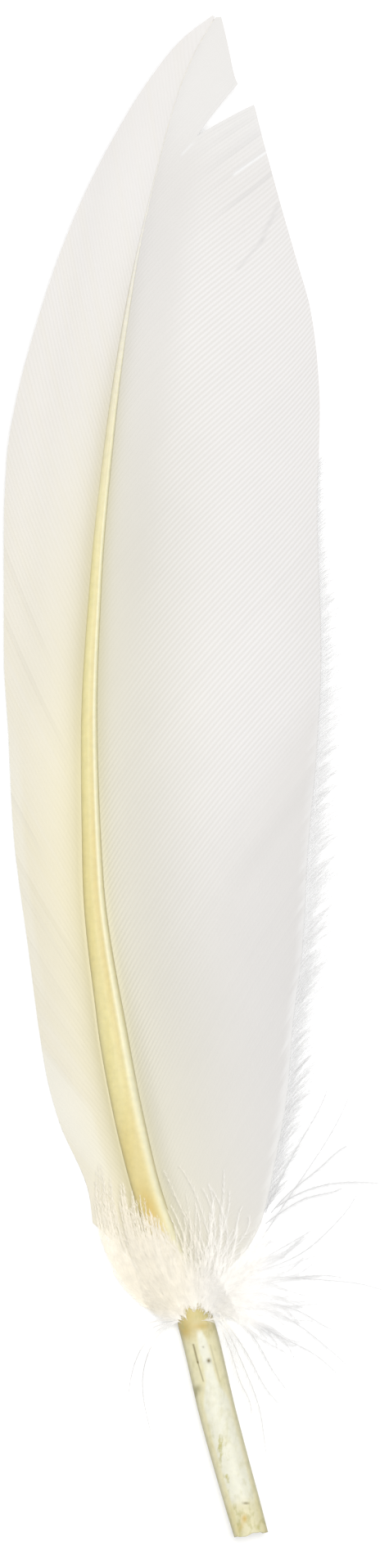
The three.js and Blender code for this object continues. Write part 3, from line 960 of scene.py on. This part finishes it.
def make_outer_down(material):
    lobe = fan_curves(OUTER_LOBE, count=215, samples=16, spread=0.4, shortest=0.25)
    wisps = wander(guide_curves(OUTER_WISPS, 16), 0.3)
    plan = np.concatenate([lobe, wisps])
    hair = np.r_[np.full(len(lobe), 2.6), np.full(len(wisps), 0.6)][:, None, None]
    thickness = np.r_[np.full(len(lobe), 0.03), np.full(len(wisps), 0.13)][:, None]
    make_down(
        "outer_down_tuft", "outer_down", material, plan, drape(0.3), thickness,
        hairs=dict(per_side=120, longest=hair, radius=0.024, angle=12),
        warmth=lambda p: 0.15 + 0.75 * smooth_step(-101, -97, p[:, 1]), dense_to=26,
    )


def make_inner_down(material):
    fan = wander(fan_curves(INNER_FAN, count=52, samples=18, spread=1.2, shortest=0.25), 0.9)
    plumes = wander(guide_curves(INNER_PLUMES, 18), 0.5)
    plan = np.concatenate([fan, plumes])
    thickness = np.r_[np.full(len(fan), 0.035), np.full(len(plumes), 0.09)][:, None]
    make_down(
        "inner_down_tuft", "inner_down", material, plan, drape(0.4), thickness,
        hairs=dict(per_side=200, longest=2.2, radius=0.012, angle=20),
        warmth=lambda p: 0.5 * smooth_step(14, 2, p[:, 0]), dense_to=14,
    )


def make_afterfeather(material):
    fan = wander(fan_curves(RACHIS_FAN, count=95, samples=16, spread=0.9, shortest=0.25), 0.8)
    plan = np.concatenate([fan, wander(guide_curves(RACHIS_ARCS, 16), 0.3)])
    make_down(
        "afterfeather_tuft", "afterfeather", material, plan, drape(0.6), 0.035,
        hairs=dict(per_side=140, longest=2.0, radius=0.016, angle=20),
        warmth=lambda p: 0.25 + 0.6 * smooth_step(5, -4, p[:, 0]), dense_to=24,
    )


FRINGE_STRANDS = 560
FRINGE_FROM, FRINGE_TO = -80, 58  # stations
FRINGE_REACH = [(-88, 7), (-60, 10), (-30, 9.5), (0, 8), (30, 4.5), (58, 1.8)]
# It starts inside the vane's edge and above it, so that no gap shows
FRINGE_INSIDE, FRINGE_ABOVE = 0.25, 0.12


def fringe_height(x, y, t):
    return vane_height(x, y, 1, INNER_CURL, 0) * (1 - 0.3 * t) + FRINGE_ABOVE


def make_fringe(material, curves):
    """Soft free ends of the inner vane's barbs, along its lower right edge."""
    edge = curves[:, -1]
    places = np.arange(FRINGE_STRANDS) + rng.uniform(0, 1, FRINGE_STRANDS)
    y = FRINGE_FROM + (FRINGE_TO - FRINGE_FROM) * places / FRINGE_STRANDS
    first = np.stack([np.interp(y, edge[:, 1], edge[:, 0]), y], -1)
    ends = normalised(edge - curves[:, -3])
    heading = np.interp(y, edge[:, 1], np.degrees(np.arctan2(ends[:, 1], ends[:, 0])))
    first = first - direction(heading) * FRINGE_INSIDE
    reach = smooth_curve(FRINGE_REACH)(y) * rng.uniform(0.35, 1.0, len(y))
    middle = first + direction(heading) * reach[:, None] * 0.4
    bend = heading - rng.uniform(4, 28, len(y))
    third = middle + direction(bend) * reach[:, None] * 0.3
    last = third + direction(bend - rng.uniform(-8, 16, len(y))) * reach[:, None] * 0.4
    plan = bezier(first, middle, third, last, 8)
    hair = 0.3 * reach[:, None, None]
    make_down(
        "inner_vane_fringe", None, material, plan, fringe_height, 0.025,
        hairs=dict(per_side=34, longest=hair, radius=0.016, angle=9),
        warmth=lambda p: np.zeros(len(p)), dense_to=-20,
    )


# ---------------------------------------------------------------- stage
PHOTO_SIZE = (475, 1917)
PHOTO_SCALE = 0.15  # millimetres of the feather for one pixel of the photograph
VIEW_CENTRE = (0.0, -1.4)
CAMERA_DISTANCE = 3000.0
SENSOR = 36.0
FLOOR_HALF = 9000.0
FLOOR_GLOW = 0.35  # its own light, which keeps the shadows as faint as in the photograph
FLOOR_BELOW = 0.05
FLOOR_WHITE = 0.65
WORLD_LIGHT = 0.3


def make_camera():
    data = bpy.data.cameras.new("camera")
    data.sensor_fit = "VERTICAL"
    data.sensor_height = SENSOR
    data.lens = SENSOR * CAMERA_DISTANCE / (PHOTO_SIZE[1] * PHOTO_SCALE)
    data.clip_end = 20  # metres
    camera = bpy.data.objects.new("camera", data)
    camera.location = (VIEW_CENTRE[0] * MM, VIEW_CENTRE[1] * MM, CAMERA_DISTANCE * MM)
    bpy.context.scene.collection.objects.link(camera)
    bpy.context.scene.camera = camera


def make_floor():
    corners = np.array([(-1, -1, 0), (1, -1, 0), (1, 1, 0), (-1, 1, 0)]) * FLOOR_HALF
    mesh = bpy.data.meshes.new("floor")
    mesh.from_pydata((corners * MM).tolist(), [], [(0, 1, 2, 3)])
    material, tree, shader = new_material("floor", 0.9, 0.1)
    paper = between(tree, object_noise(tree, 30), 0.985, 1.0)
    white = (FLOOR_WHITE, FLOOR_WHITE, FLOOR_WHITE, 1.0)
    colour = mix_colour(tree, 1.0, white, paper, "MULTIPLY")
    tree.links.new(colour, shader.inputs["Base Color"])
    shader.inputs["Emission Color"].default_value = (1.0, 1.0, 1.0, 1.0)
    shader.inputs["Emission Strength"].default_value = FLOOR_GLOW
    mesh.materials.append(material)
    floor = bpy.data.objects.new("floor", mesh)
    floor.location.z = -FLOOR_BELOW * MM
    bpy.context.scene.collection.objects.link(floor)


def make_light(name, place, size, watts):
    """A disk that shines on the middle of the feather. Its place and size are in metres."""
    data = bpy.data.lights.new(name, "AREA")
    data.shape = "DISK"
    data.size = size
    data.energy = watts
    light = bpy.data.objects.new(name, data)
    light.location = place
    light.visible_camera = False
    aim = -light.location
    light.rotation_euler = aim.to_track_quat("-Z", "Y").to_euler()
    bpy.context.scene.collection.objects.link(light)


def make_lights():
    world = bpy.data.worlds.new("studio")
    world.use_nodes = True
    background = world.node_tree.nodes["Background"]
    background.inputs["Color"].default_value = (1.0, 1.0, 1.0, 1.0)
    background.inputs["Strength"].default_value = WORLD_LIGHT
    bpy.context.scene.world = world
    make_light("key", place=(0.12, 0.15, 2.3), size=0.9, watts=48.8)
    make_light("fill", place=(-1.3, -0.4, 1.6), size=1.5, watts=5.0)


down = down_material("down", opacity=0.8)
inner_white = vane_material(
    "inner_vane", web=seen(240, 237, 234), rib=seen(252, 250, 249), painted_glow=seen(232, 226, 194),
    dim=seen(224, 222, 221), pale=seen(254, 254, 254),
)
outer_cream = vane_material(
    "outer_vane", web=seen(242, 239, 236), rib=seen(249, 246, 243), painted_glow=seen(245, 236, 196),
    dim=seen(242, 235, 210), pale=seen(250, 248, 241),
)

make_camera()
make_shaft(horn_material())
inner_curves = make_inner_vane(inner_white)
make_outer_vane(outer_cream)
make_outer_down(down)
make_inner_down(down)
make_afterfeather(down)
make_fringe(down_material("fringe", opacity=0.3), inner_curves)
make_floor()
make_lights()
bpy.context.scene.view_settings.view_transform = "Standard"
